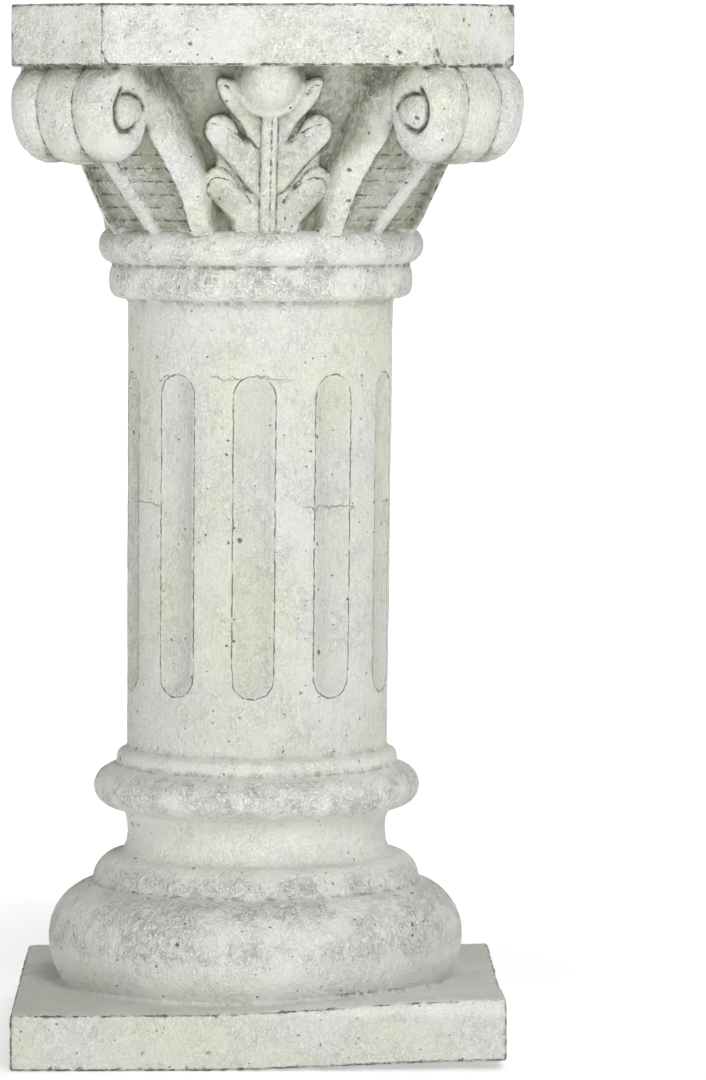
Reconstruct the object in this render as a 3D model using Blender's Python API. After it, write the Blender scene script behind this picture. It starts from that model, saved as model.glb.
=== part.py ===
# Column pedestal: a square plinth, a turned base, a fluted shaft and a leafed capital, cast in one piece.
# Metres, +Z up. The origin is the centre of the plinth's underside, and the front faces -Y.
import math

import bmesh
import bpy
from mathutils import Matrix, Vector

# Heights of the courses, from the ground up
PLINTH_HEIGHT = 0.0385
TORUS_HEIGHT = 0.0700
LOWER_RING_HEIGHT = 0.0190
SCOTIA_HEIGHT = 0.0315
UPPER_TORUS_HEIGHT = 0.0300
FILLET_HEIGHT = 0.0110
SHAFT_HEIGHT = 0.3110
NECK_RING_HEIGHT = 0.0240
COLLAR_HEIGHT = 0.0240
CAPITAL_HEIGHT = 0.1100
ABACUS_HEIGHT = 0.0410

# How far each turned course stands out from the shaft's foot
SHAFT_RADIUS = 0.0900
SHAFT_SPREAD = 0.0012
TORUS_PROJECTION = 0.0533
TORUS_SWELL = 0.0370
TORUS_BELLY = 0.45
LOWER_RING_PROJECTION = 0.0231
SCOTIA_HOLLOW = 0.0008
UPPER_TORUS_PROJECTION = 0.0228
UPPER_TORUS_SWELL = 0.0175
FILLET_PROJECTION = 0.0071
NECK_RING_PROJECTION = 0.0143
COLLAR_PROJECTION = 0.0216
NECK_RING_SWELL = 0.0085
COLLAR_SWELL = 0.0100
TURNED_STEPS = 44

# Square courses
PLINTH_MARGIN = 0.0226
PLINTH_WEAR = 0.0015
ABACUS_OVERHANG = 0.0564
ABACUS_CANT = 0.0595
ABACUS_WEAR = 0.0012

# Flutes, round at both ends and shallow
FLUTE_COUNT = 10
FLUTE_WIDTH = 0.0288
FLUTE_DEPTH = 0.0052
FLUTE_BELOW = 0.0410
FLUTE_ABOVE = 0.0500
FLUTE_TURN = -1.3
FLUTE_SEGMENTS = (30, 18)

# The casting stands a little out of true
COLUMN_SHIFT = -0.0023
COLUMN_LEAN = 0.0095
CAPITAL_TURN = 2.0
ABACUS_SHIFT = -0.0035

# Bell of the capital
BELL_FOOT = 0.0080
BELL_FLARE = 0.0470
BELL_CURVE = 1.6
BELL_STEPS = 6

# Scrolls under the canted corners. Across is along the scroll's own axis.
SCROLL_SETBACK = 0.0190
SCROLL_DROP = 0.0240
SCROLL_REACH = 0.0270
SCROLL_BELOW = 0.0400
SCROLL_ABOVE = 0.0270
LOBE_HALF = 0.0160
CHEEK_DEPTH = 0.0385
LOBE_GROOVE = 0.0035
LOBE_SWELL = 0.0015
CHEEK_FULLNESS = 0.85
CHEEK_STATIONS = 5
SCROLL_STEPS = 18
EYE_REACH = 0.0115
EYE_TALL = 0.0140
EYE_PROUD = 0.0050
EYE_SEGMENTS = (10, 5)

# Stems that carry the scrolls, with a ridge, sunk panels and raised borders
STEM_HALF = 0.0525
STEM_ROOT = 0.0490
RIDGE_FOOT = 0.0185
RIDGE_LEAN = 0.86
RIDGE_HALF = 0.0055
RIDGE_CREST = 0.0022
PANEL_DEPTH = 0.0055
PANEL_HALF = 0.0270
PANEL_SPREAD = 0.26
BORDER_FOOT = 0.0080
BORDER_LEAN = 0.80
BORDER_CHAMFER = 0.0022
BORDER_FALL = 0.0018
BORDER_ROUND = 0.0060
STEM_STATIONS = 7

# Acanthus leaf on each face, and the bud over it
LEAF_STAND = 0.0062
LEAF_RISE = 0.0133
LEAF_THICK = 0.0085
LEAF_STATIONS = 7
LOBE_WIDTH = 0.0145
LOBE_BASE = 0.0050
LOBE_ROOT_LIFT = 0.0032
LOBE_TIP_LIFT = 0.0030
LOBE_SWELLING = 0.25
LOBE_OVERRUN = 1.08
LOBE_SEGMENTS = (10, 6)
LOBE_PAIRS = (
    # height of the base, height of the tip, half-spread of the tip, lift of the tip
    (0.008, 0.037, 0.0400, 0.0050),
    (0.034, 0.069, 0.0400, 0.0070),
    (0.062, 0.101, 0.0350, 0.0080),
)
WEB_HALF = 0.0190
WEB_TAPER = 0.35
WEB_SHOULDER = 0.0055
WEB_FALL = 0.0010
MIDRIB_HALF = 0.0048
MIDRIB_CREST = 0.0034
MIDRIB_PROUD = 0.0030
BUD_RADIUS = 0.0205
BUD_DROP = 0.0135
BUD_INSET = 0.0210
BUD_SEGMENTS = (12, 8)

# Angle over which an edge is shaded sharp, in degrees
SHARP_EDGE = 35

# How far a shape runs into what carries it
SINK = 0.0040

# The carving is fused at this grain, then thinned to this share of its faces
GRAIN = 0.0020
THINNED = 0.0185


def stack(*courses):
    """Heights of the joints between courses, starting at the ground."""
    levels = [0.0]
    for course in courses:
        levels.append(levels[-1] + course)
    return levels


(
    GROUND,
    PLINTH_TOP,
    TORUS_TOP,
    LOWER_RING_TOP,
    SCOTIA_TOP,
    UPPER_TORUS_TOP,
    FILLET_TOP,
    SHAFT_TOP,
    NECK_RING_TOP,
    COLLAR_TOP,
    CAPITAL_TOP,
    ABACUS_TOP,
) = stack(
    PLINTH_HEIGHT,
    TORUS_HEIGHT,
    LOWER_RING_HEIGHT,
    SCOTIA_HEIGHT,
    UPPER_TORUS_HEIGHT,
    FILLET_HEIGHT,
    SHAFT_HEIGHT,
    NECK_RING_HEIGHT,
    COLLAR_HEIGHT,
    CAPITAL_HEIGHT,
    ABACUS_HEIGHT,
)
TORUS_RADIUS = SHAFT_RADIUS + TORUS_PROJECTION
PLINTH_HALF = TORUS_RADIUS + PLINTH_MARGIN
NECK_RADIUS = SHAFT_RADIUS + SHAFT_SPREAD
COLLAR_RADIUS = SHAFT_RADIUS + COLLAR_PROJECTION
BELL_RADIUS = SHAFT_RADIUS + BELL_FOOT
ABACUS_HALF = COLLAR_RADIUS + ABACUS_OVERHANG
CANT_DISTANCE = (2 * ABACUS_HALF - ABACUS_CANT) / math.sqrt(2)
SCROLL_CENTRE = CANT_DISTANCE - SCROLL_SETBACK
SCROLL_LEVEL = CAPITAL_TOP - SCROLL_DROP


def arc(centre, semi_axes, start, end, count):
    """Points (radius, height) along an ellipse, angles in degrees from straight out."""
    points = []
    for i in range(count + 1):
        angle = math.radians(start + (end - start) * i / count)
        across = centre[0] + semi_axes[0] * math.cos(angle)
        points.append((across, centre[1] + semi_axes[1] * math.sin(angle)))
    return points


def bell_radius(level):
    """The bell's radius at a height, hollow below and spreading towards the abacus."""
    share = min(max((level - COLLAR_TOP) / CAPITAL_HEIGHT, 0.0), 1.0)
    return BELL_RADIUS + BELL_FLARE * share**BELL_CURVE


def base_profile():
    """The fillet, the upper torus, the scotia, the ring and the torus, from the top down."""
    fillet_radius = SHAFT_RADIUS + FILLET_PROJECTION
    upper_radius = SHAFT_RADIUS + UPPER_TORUS_PROJECTION
    scotia_radius = SHAFT_RADIUS - SCOTIA_HOLLOW
    ring_radius = SHAFT_RADIUS + LOWER_RING_PROJECTION
    joint = upper_radius - UPPER_TORUS_SWELL
    half = FILLET_HEIGHT / 2
    points = arc((fillet_radius - half, FILLET_TOP - half), (half, half), 90, 0, 2)
    points += [(fillet_radius, UPPER_TORUS_TOP)]
    half = UPPER_TORUS_HEIGHT / 2
    points += arc((joint, UPPER_TORUS_TOP - half), (UPPER_TORUS_SWELL, half), 75, -90, 6)
    half = SCOTIA_HEIGHT / 2
    points += arc((joint, SCOTIA_TOP - half), (joint - scotia_radius, half), 120, 240, 4)
    points += arc((joint, TORUS_TOP), (ring_radius - joint, LOWER_RING_HEIGHT), 90, 0, 4)
    belly = PLINTH_TOP + TORUS_HEIGHT * TORUS_BELLY
    centre = TORUS_RADIUS - TORUS_SWELL
    meeting = math.degrees(math.acos((ring_radius - centre) / TORUS_SWELL))
    points += arc((centre, belly), (TORUS_SWELL, TORUS_TOP - belly), meeting, 0, 5)
    points += arc((centre, belly), (TORUS_SWELL, (belly - PLINTH_TOP) * math.sqrt(2)), -15, -45, 2)
    return points


def neck_profile():
    """The collar and the neck ring, from the top down to the shaft."""
    half = COLLAR_HEIGHT / 2
    groove = COLLAR_RADIUS - COLLAR_SWELL
    points = arc((groove, COLLAR_TOP - half), (COLLAR_SWELL, half), 90, -90, 6)
    half = NECK_RING_HEIGHT / 2
    centre = SHAFT_RADIUS + NECK_RING_PROJECTION - NECK_RING_SWELL
    meeting = math.degrees(math.acos((groove - centre) / NECK_RING_SWELL))
    points += arc((centre, NECK_RING_TOP - half), (NECK_RING_SWELL, half), meeting, -90, 5)
    return points


def bell_profile():
    """The bell between the collar and the abacus, from the top down, running into both."""
    levels = [CAPITAL_TOP - CAPITAL_HEIGHT * i / BELL_STEPS for i in range(BELL_STEPS + 1)]
    points = [(bell_radius(level), level) for level in levels]
    points[0] = (points[0][0], CAPITAL_TOP + SINK)
    points[-1] = (points[-1][0], COLLAR_TOP - SINK)
    return points


def add_mesh(name, mesh_data):
    """An object from a bmesh, with its faces turned outwards."""
    bmesh.ops.recalc_face_normals(mesh_data, faces=mesh_data.faces)
    mesh = bpy.data.meshes.new(name)
    mesh_data.to_mesh(mesh)
    mesh_data.free()
    item = bpy.data.objects.new(name, mesh)
    bpy.context.scene.collection.objects.link(item)
    return item


def ball(radius, segments):
    """A sphere at the origin, as a bmesh, with so many segments round and from pole to pole."""
    data = bmesh.new()
    bmesh.ops.create_uvsphere(data, u_segments=segments[0], v_segments=segments[1], radius=radius)
    return data


def turned(name, profile):
    """A solid turned about Z from (radius, height) points, closed on the axis at both ends."""
    data = bmesh.new()
    ends = [(0.0, profile[0][1]), *profile, (0.0, profile[-1][1])]
    line = [data.verts.new((radius, 0.0, level)) for radius, level in ends]
    edges = [data.edges.new(pair) for pair in zip(line, line[1:])]
    bmesh.ops.spin(
        data, geom=line + edges, axis=(0, 0, 1), cent=(0, 0, 0), angle=math.tau, steps=TURNED_STEPS
    )
    bmesh.ops.remove_doubles(data, verts=data.verts, dist=1e-6)
    return add_mesh(name, data)


def lofted(name, rings, ends=None):
    """A closed solid through rings of points, with flat ends or a point at each end."""
    data = bmesh.new()
    loops = [[data.verts.new(point) for point in ring] for ring in rings]
    count = len(loops[0])
    for low, high in zip(loops, loops[1:]):
        for i in range(count):
            j = (i + 1) % count
            data.faces.new((low[i], low[j], high[j], high[i]))
    for loop, tip in zip((loops[0], loops[-1]), ends or (None, None)):
        if tip is None:
            data.faces.new(loop)
            continue
        point = data.verts.new(tip)
        for i in range(count):
            data.faces.new((loop[i], loop[(i + 1) % count], point))
    return add_mesh(name, data)


def worn_block(name, outline, low, high, wear):
    """A slab over an outline in X and Y, with its edges worn by a small bevel."""
    data = bmesh.new()
    face = data.faces.new([data.verts.new((x, y, low)) for x, y in outline])
    raised = bmesh.ops.extrude_face_region(data, geom=[face])
    tops = [item for item in raised["geom"] if isinstance(item, bmesh.types.BMVert)]
    bmesh.ops.translate(data, verts=tops, vec=(0, 0, high - low))
    bmesh.ops.bevel(data, geom=data.edges[:], offset=wear, segments=1, affect="EDGES")
    return add_mesh(name, data)


def plinth():
    """The square plinth under the torus."""
    half = PLINTH_HALF
    outline = [(-half, -half), (half, -half), (half, half), (-half, half)]
    return worn_block("plinth", outline, GROUND, PLINTH_TOP, PLINTH_WEAR)


def abacus():
    """The square abacus with its four corners canted."""
    half = ABACUS_HALF
    short = half - ABACUS_CANT
    outline = [(short, half), (-short, half), (-half, short), (-half, -short)]
    outline += [(-x, -y) for x, y in outline]
    return worn_block("abacus", outline, CAPITAL_TOP, ABACUS_TOP, ABACUS_WEAR)


def flute_cutter():
    """A long round-ended cutter on the front, whose chord at the shaft's face is the flute's outline."""
    half = FLUTE_WIDTH / 2
    radius = (half**2 + FLUTE_DEPTH**2) / (2 * FLUTE_DEPTH)
    reach = SHAFT_RADIUS + SHAFT_SPREAD / 2 + radius - FLUTE_DEPTH
    low = FILLET_TOP + FLUTE_BELOW + half
    high = SHAFT_TOP - FLUTE_ABOVE - half
    data = ball(radius, FLUTE_SEGMENTS)
    for vert in data.verts:
        vert.co.z += high if vert.co.z > 0 else low
    bmesh.ops.translate(data, verts=data.verts, vec=(0, -reach, 0))
    return add_mesh("flute_cutter", data)


def corner_point(reach, across, level):
    """A point of the corner that faces -Y and -X: reach runs out along the diagonal, across to its right."""
    root = math.sqrt(0.5)
    return Vector(((across - reach) * root, (-across - reach) * root, level))


def scroll():
    """A thick scroll: one round lobe on the diagonal between two domed cheeks."""
    stations = []
    for step in range(1, CHEEK_STATIONS):
        angle = math.pi / 2 * step / CHEEK_STATIONS
        across = LOBE_HALF + CHEEK_DEPTH * math.cos(angle) ** CHEEK_FULLNESS
        stations.append((across, math.sin(angle) ** CHEEK_FULLNESS))
    stations.append((LOBE_HALF + LOBE_GROOVE, 1.0))
    stations.append((LOBE_HALF, 1 - LOBE_GROOVE / SCROLL_REACH))
    stations.append((LOBE_HALF - LOBE_GROOVE, 1.0))
    stations.append((0.0, 1.0 + LOBE_SWELL / SCROLL_REACH))
    stations += [(-across, size) for across, size in reversed(stations[:-1])]
    rings = []
    for across, size in stations:
        ring = []
        for i in range(SCROLL_STEPS):
            angle = math.tau * i / SCROLL_STEPS
            reach = SCROLL_CENTRE + SCROLL_REACH * size * math.cos(angle)
            tall = SCROLL_ABOVE if math.sin(angle) > 0 else SCROLL_BELOW
            level = SCROLL_LEVEL + tall * size * math.sin(angle)
            ring.append(corner_point(reach, across, level))
        rings.append(ring)
    tip = LOBE_HALF + CHEEK_DEPTH
    tips = [corner_point(SCROLL_CENTRE, side * tip, SCROLL_LEVEL) for side in (1, -1)]
    return lofted("scroll", rings, tips)


def eye(side):
    """The raised eye at the middle of a scroll's cheek."""
    data = ball(1.0, EYE_SEGMENTS)
    middle = LOBE_HALF + CHEEK_DEPTH - EYE_REACH + EYE_PROUD
    for vert in data.verts:
        x, y, z = vert.co
        vert.co = corner_point(
            SCROLL_CENTRE + EYE_REACH * x, side * (middle + EYE_REACH * z), SCROLL_LEVEL + EYE_TALL * y
        )
    return add_mesh("eye", data)


def stem():
    """The stem under a scroll, with a ridge on the diagonal between two sunk panels and raised borders."""
    rings = []
    low = COLLAR_TOP - SINK
    high = CAPITAL_TOP + SINK
    back = BELL_RADIUS - STEM_ROOT
    for step in range(STEM_STATIONS):
        level = low + (high - low) * step / (STEM_STATIONS - 1)
        rise = min(level, SCROLL_LEVEL) - COLLAR_TOP
        ridge = SHAFT_RADIUS + RIDGE_FOOT + RIDGE_LEAN * rise
        border = SHAFT_RADIUS + BORDER_FOOT + BORDER_LEAN * rise
        panel = PANEL_HALF + PANEL_SPREAD * rise
        side = [
            (ridge, RIDGE_CREST),
            (ridge - PANEL_DEPTH, RIDGE_HALF),
            (border - PANEL_DEPTH, panel),
            (border, panel + BORDER_CHAMFER),
            (border - BORDER_FALL, STEM_HALF - BORDER_ROUND),
            (border - 2 * BORDER_ROUND, STEM_HALF),
            (back, STEM_HALF),
        ]
        ring = [corner_point(reach, across, level) for reach, across in side]
        ring += [corner_point(reach, -across, level) for reach, across in reversed(side)]
        rings.append(ring)
    return lofted("stem", rings)


def face_point(across, lift, level):
    """A point over the bell on the face towards -Y: across to the right, lift out from the bell."""
    radius = bell_radius(level) + lift
    angle = across / radius
    return Vector((radius * math.sin(angle), -radius * math.cos(angle), level))


def leaf_lobe(base, tip, spread, lift, side):
    """One rounded lobe, an almond lying on the bell from the midrib to its raised tip."""
    start = face_point(side * LOBE_BASE, LOBE_ROOT_LIFT, COLLAR_TOP + base)
    end = face_point(side * spread, LOBE_TIP_LIFT + lift, COLLAR_TOP + tip)
    middle = (start + end) / 2
    along = (end - start) / 2
    outward = Vector((middle.x, middle.y, 0)).normalized()
    across = outward.cross(along).normalized()
    outward = along.cross(across).normalized()
    data = ball(1.0, LOBE_SEGMENTS)
    for vert in data.verts:
        x, y, z = vert.co
        width = LOBE_WIDTH * (1 + LOBE_SWELLING * z)
        vert.co = middle + along * (z * LOBE_OVERRUN) + across * (x * width) + outward * (y * LEAF_THICK)
    return add_mesh("leaf_lobe", data)


def leaf_body():
    """The web between the lobes and the midrib down its middle, running up behind the bud."""
    rings = []
    for step in range(LEAF_STATIONS):
        share = step / (LEAF_STATIONS - 1)
        level = COLLAR_TOP - SINK + (CAPITAL_HEIGHT - BUD_DROP) * share
        lift = LEAF_STAND + LEAF_RISE * share**2
        web = WEB_HALF * (1 - WEB_TAPER * share)
        side = [
            (MIDRIB_CREST, lift + MIDRIB_PROUD),
            (MIDRIB_HALF, lift),
            (web - WEB_SHOULDER, lift - WEB_FALL),
            (web, -SINK),
        ]
        ring = [face_point(across, out, level) for across, out in side]
        ring += [face_point(-across, out, level) for across, out in reversed(side)]
        rings.append(ring)
    return lofted("leaf_body", rings)


def bud():
    """The round bud under the abacus, over the leaf."""
    data = ball(BUD_RADIUS, BUD_SEGMENTS)
    place = Vector((0, -(ABACUS_HALF - BUD_INSET), CAPITAL_TOP - BUD_DROP))
    bmesh.ops.translate(data, verts=data.verts, vec=place)
    return add_mesh("bud", data)


def quarter():
    """The carving of one corner and one face."""
    items = [scroll(), eye(1), eye(-1), stem(), leaf_body(), bud()]
    for pair in LOBE_PAIRS:
        items += [leaf_lobe(*pair, side) for side in (1, -1)]
    return items


def joined(name, items, turns=1):
    """One object from several, repeated round Z in equal turns. Its shells still overlap."""
    data = bmesh.new()
    for turn in range(turns):
        rotation = Matrix.Rotation(turn * math.tau / turns, 4, "Z")
        for item in items:
            mesh = item.data.copy()
            mesh.transform(rotation)
            data.from_mesh(mesh)
    for item in items:
        bpy.data.objects.remove(item, do_unlink=True)
    return add_mesh(name, data)


def fuse(item):
    """Melts an object's overlapping shells into one skin and thins it."""
    remesh = item.modifiers.new("fused", "REMESH")
    remesh.mode = "VOXEL"
    remesh.voxel_size = GRAIN
    thinned = item.modifiers.new("thinned", "DECIMATE")
    thinned.ratio = THINNED


def helper(item):
    """A shape that a Boolean reads and a render leaves out."""
    item.hide_render = True
    item.display_type = "WIRE"
    return item


def combine(item, operation, other):
    """A Boolean of an object with a helper."""
    modifier = item.modifiers.new(other.name, "BOOLEAN")
    modifier.operation = operation
    modifier.object = helper(other)
    modifier.solver = "EXACT"


def set_out_of_true(item, turn, shift=COLUMN_SHIFT):
    """Turns a shape about Z by an angle in degrees, moves it along X and leans it towards +X."""
    item.data.transform(Matrix.Rotation(math.radians(turn), 4, "Z"))
    for vert in item.data.vertices:
        vert.co.x += shift + COLUMN_LEAN * (vert.co.z - PLINTH_TOP)


def cast_stone():
    """Whitewashed cast stone, matt."""
    material = bpy.data.materials.new("cast_stone")
    material.use_nodes = True
    shader = material.node_tree.nodes["Principled BSDF"]
    shader.inputs["Base Color"].default_value = (0.66, 0.68, 0.62, 1.0)
    shader.inputs["Roughness"].default_value = 0.88
    shader.inputs["Metallic"].default_value = 0.0
    return material


def build():
    """The whole pedestal as one solid."""
    for item in list(bpy.data.objects):
        bpy.data.objects.remove(item, do_unlink=True)
    shaft = [(NECK_RADIUS, SHAFT_TOP), (SHAFT_RADIUS, FILLET_TOP)]
    foot = [(TORUS_RADIUS - TORUS_SWELL, PLINTH_TOP - SINK)]
    pedestal = turned("column_pedestal", neck_profile() + shaft + base_profile() + foot)
    flutes = joined("flutes", [flute_cutter()], FLUTE_COUNT)
    carving = joined("carving", quarter(), 4)
    capital = joined("capital", [turned("bell", bell_profile()), carving])
    slab = abacus()
    set_out_of_true(pedestal, 0)
    set_out_of_true(flutes, FLUTE_TURN)
    set_out_of_true(capital, CAPITAL_TURN)
    set_out_of_true(slab, CAPITAL_TURN, COLUMN_SHIFT + ABACUS_SHIFT)
    fuse(capital)
    combine(pedestal, "DIFFERENCE", flutes)
    for item in (plinth(), capital, slab):
        combine(pedestal, "UNION", item)
    pedestal.data.materials.append(cast_stone())
    pedestal.data.shade_smooth()
    pedestal.data.set_sharp_from_angle(angle=math.radians(SHARP_EDGE))


build()
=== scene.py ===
import math

import bpy
import numpy as np
from mathutils import Matrix, Vector
from mathutils.bvhtree import BVHTree
from mathutils.kdtree import KDTree


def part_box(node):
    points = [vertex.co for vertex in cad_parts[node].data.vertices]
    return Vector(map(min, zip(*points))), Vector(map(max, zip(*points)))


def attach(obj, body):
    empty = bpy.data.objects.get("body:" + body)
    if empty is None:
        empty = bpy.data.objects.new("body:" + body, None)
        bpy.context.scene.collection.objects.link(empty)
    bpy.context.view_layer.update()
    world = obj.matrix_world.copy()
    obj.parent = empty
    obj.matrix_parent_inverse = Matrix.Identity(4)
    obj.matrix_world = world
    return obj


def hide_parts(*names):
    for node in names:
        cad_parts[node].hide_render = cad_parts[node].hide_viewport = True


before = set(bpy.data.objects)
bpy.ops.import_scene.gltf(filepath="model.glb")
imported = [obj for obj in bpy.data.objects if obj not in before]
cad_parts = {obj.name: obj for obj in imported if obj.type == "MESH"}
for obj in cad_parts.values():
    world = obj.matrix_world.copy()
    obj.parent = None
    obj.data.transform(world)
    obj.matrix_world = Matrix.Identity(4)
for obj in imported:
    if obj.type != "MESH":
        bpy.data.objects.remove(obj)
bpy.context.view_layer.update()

# The column pedestal: whitewashed cast stone, 0.71 m tall. Metres, +Z up, the front faces -Y.

# Heights of the courses, from the ground up
courses = {
    "plinth": 0.0385, "torus": 0.0700, "lowerRing": 0.0190, "scotia": 0.0315, "upperTorus": 0.0300,
    "fillet": 0.0110, "shaft": 0.3110, "neckRing": 0.0240, "collar": 0.0240, "capital": 0.1100,
}
tops = {}
level = 0.0
for course, height in courses.items():
    level += height
    tops[course] = level
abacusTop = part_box("column_pedestal")[1].z

shaftRadius = 0.0900
collarRadius = shaftRadius + 0.0216
bellFoot = shaftRadius + 0.0080
abacusHalf = collarRadius + 0.0564
abacusCant = 0.0595
plinthHalf = shaftRadius + 0.0759
lean = {"shift": -0.0023, "slope": 0.0095, "capitalTurn": 2.0, "abacusShift": -0.0035, "fluteTurn": -2.2}
diagonal = math.sqrt(0.5)


# Small helpers

def choose(*pieces):
    bpy.ops.object.select_all(action="DESELECT")
    for piece in pieces:
        piece.select_set(True)
    bpy.context.view_layer.objects.active = pieces[0]


def editAll(piece):
    choose(piece)
    bpy.ops.object.mode_set(mode="EDIT")
    bpy.ops.mesh.select_all(action="SELECT")


def closeUp(piece):  # doubles merged, faces outwards
    editAll(piece)
    bpy.ops.mesh.remove_doubles(threshold=0.00001)
    bpy.ops.mesh.normals_make_consistent(inside=False)
    bpy.ops.object.mode_set(mode="OBJECT")
    return piece


def readPoints(mesh, field="co"):
    values = np.empty(len(mesh.vertices) * 3)
    if field == "normal":
        mesh.vertex_normals.foreach_get("vector", values)
    else:
        mesh.vertices.foreach_get(field, values)
    return values.reshape(-1, 3)


def shapeBy(piece, mover):  # moves every point of a piece by a rule
    points = mover(readPoints(piece.data))
    piece.data.vertices.foreach_set("co", points.ravel())
    piece.data.update()
    return piece


def applyAll(piece):
    choose(piece)
    for modifier in list(piece.modifiers):
        bpy.ops.object.modifier_apply(modifier=modifier.name)
    return piece


def joinAll(pieces):
    choose(*pieces)
    bpy.ops.object.join()
    return bpy.context.object


def quarterCopies(pieces):  # the same carving on all four sides, each copy with its own mesh
    made = list(pieces)
    for quarter in range(1, 4):
        turn = Matrix.Rotation(quarter * math.pi / 2, 4, "Z")
        for piece in pieces:
            copy = piece.copy()
            copy.data = piece.data.copy()
            copy.data.transform(turn)
            bpy.context.collection.objects.link(copy)
            made.append(copy)
    return made


def fuse(piece, grain):
    remesh = piece.modifiers.new("fused", "REMESH")
    remesh.mode = "VOXEL"
    remesh.voxel_size = grain
    return applyAll(piece)


def thin(piece, triangles, keep=None):
    piece.data.calc_loop_triangles()
    modifier = piece.modifiers.new("thinned", "DECIMATE")
    modifier.ratio = triangles / len(piece.data.loop_triangles)
    if keep:
        modifier.vertex_group = keep
        modifier.invert_vertex_group = True
        modifier.vertex_group_factor = 1.0
    return applyAll(piece)


def smoothStep(low, high, value):
    share = np.clip((value - low) / (high - low), 0, 1)
    return share * share * (3 - 2 * share)


def bumpAt(centre, width, value):  # a soft hump, 1 at its centre
    return np.exp(-(((value - centre) / width) ** 2))


# Points (radius, height) on an ellipse, degrees from straight out; a power under 1 squares it off
def arc(centre, half, start, end, count, power=1.0):
    angles = np.radians(np.linspace(start, end, count))
    cosines, sines = (np.sign(part) * np.abs(part) ** power for part in (np.cos(angles), np.sin(angles)))
    return [(centre[0] + half[0] * float(x), centre[1] + half[1] * float(z)) for x, z in zip(cosines, sines)]


def drawnLine(name, points):  # a line in the XZ plane, drawn point by point
    bpy.ops.object.select_all(action="DESELECT")
    bpy.ops.mesh.primitive_plane_add(size=0.01, location=(0, 0, 0))
    piece = bpy.context.object
    piece.name = name
    bpy.ops.object.mode_set(mode="EDIT")
    bpy.ops.mesh.merge(type="CENTER")
    bpy.ops.transform.translate(value=(points[0][0], 0, points[0][1]))
    for (radius, height), (nextRadius, nextHeight) in zip(points, points[1:]):
        step = (nextRadius - radius, 0, nextHeight - height)
        bpy.ops.mesh.extrude_region_move(TRANSFORM_OT_translate={"value": step})
    bpy.ops.object.mode_set(mode="OBJECT")
    return piece


def turned(name, points, steps=192):  # a solid of revolution, closed on the axis
    piece = drawnLine(name, [(0, points[0][1]), *points, (0, points[-1][1])])
    editAll(piece)
    bpy.ops.mesh.spin(steps=steps, angle=math.tau, center=(0, 0, 0), axis=(0, 0, 1))
    bpy.ops.object.mode_set(mode="OBJECT")
    return closeUp(piece)


def patch(name, columns, rows, place):  # a thick carved patch: place(u, v, back) gives each point, u and v 0 to 1
    bpy.ops.object.select_all(action="DESELECT")
    bpy.ops.mesh.primitive_grid_add(x_subdivisions=columns, y_subdivisions=rows, size=1, location=(0, 0, 0))
    piece = bpy.context.object
    piece.name = name
    bpy.ops.object.mode_set(mode="EDIT")
    bpy.ops.mesh.select_all(action="SELECT")
    bpy.ops.mesh.extrude_region_move(TRANSFORM_OT_translate={"value": (0, 0, -1)})
    bpy.ops.object.mode_set(mode="OBJECT")
    shapeBy(piece, lambda points: place(points[:, 0] + 0.5, points[:, 1] + 0.5, points[:, 2] < -0.5))
    return closeUp(piece)


def alongLine(points, line):  # distance to a drawn line, and how far along it the nearest place is
    best = np.full(len(points), 9.0)
    where = np.zeros(len(points))
    count = len(line) - 1
    for index in range(count):
        start = np.array(line[index])
        step = np.array(line[index + 1]) - start
        share = np.clip(((points - start) @ step) / (step @ step), 0, 1)
        distance = np.linalg.norm(points - start - share[:, None] * step, axis=1)
        nearer = distance < best
        best = np.where(nearer, distance, best)
        where = np.where(nearer, (index + share) / count, where)
    return best, where


def smoothLine(points, steps=6):  # a rounded line through drawn points
    line = []
    padded = [points[0], *points, points[-1]]
    for a, b, c, d in zip(padded, padded[1:], padded[2:], padded[3:]):
        for index in range(steps):
            t = index / steps
            line.append(tuple(
                0.5 * (2 * q + (r - p) * t + (2 * p - 5 * q + 4 * r - s) * t**2 + (3 * q - p - 3 * r + s) * t**3)
                for p, q, r, s in zip(a, b, c, d)
            ))
    return line + [points[-1]]


def cornerPoints(reach, across, height):  # the corner that faces -X and -Y: reach along the diagonal
    return np.stack([(across - reach) * diagonal, (-across - reach) * diagonal, height], axis=-1)


def bellRadius(height):  # hollow below, spreading towards the abacus
    share = np.clip((height - tops["collar"]) / courses["capital"], 0, 1)
    return bellFoot + 0.0470 * share**1.6


def facePoints(across, lift, height):  # over the bell, on the face towards -Y
    radius = bellRadius(height) + lift
    angle = across / radius
    return np.stack([radius * np.sin(angle), -radius * np.cos(angle), height], axis=-1)


# Camera at the photograph's viewing angle

camera = {"focalPixels": 5953.0, "away": 4.1, "eyeLevel": 0.653, "horizon": 90.0, "axisColumn": 257.5}
photoSize = (706, 1080)


def addCamera():
    pitch = math.atan((photoSize[1] / 2 - camera["horizon"]) / camera["focalPixels"])
    yaw = math.atan((photoSize[0] / 2 - camera["axisColumn"]) / camera["focalPixels"])
    bpy.ops.object.camera_add(
        location=(0, -camera["away"], camera["eyeLevel"]), rotation=(math.pi / 2 - pitch, 0, -yaw)
    )
    lens = bpy.context.object
    lens.data.sensor_fit = "VERTICAL"
    lens.data.sensor_height = 24
    lens.data.lens = camera["focalPixels"] / photoSize[1] * lens.data.sensor_height
    bpy.context.scene.camera = lens


addCamera()
print("camera placed")


# Base, fluted shaft and rings

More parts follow.
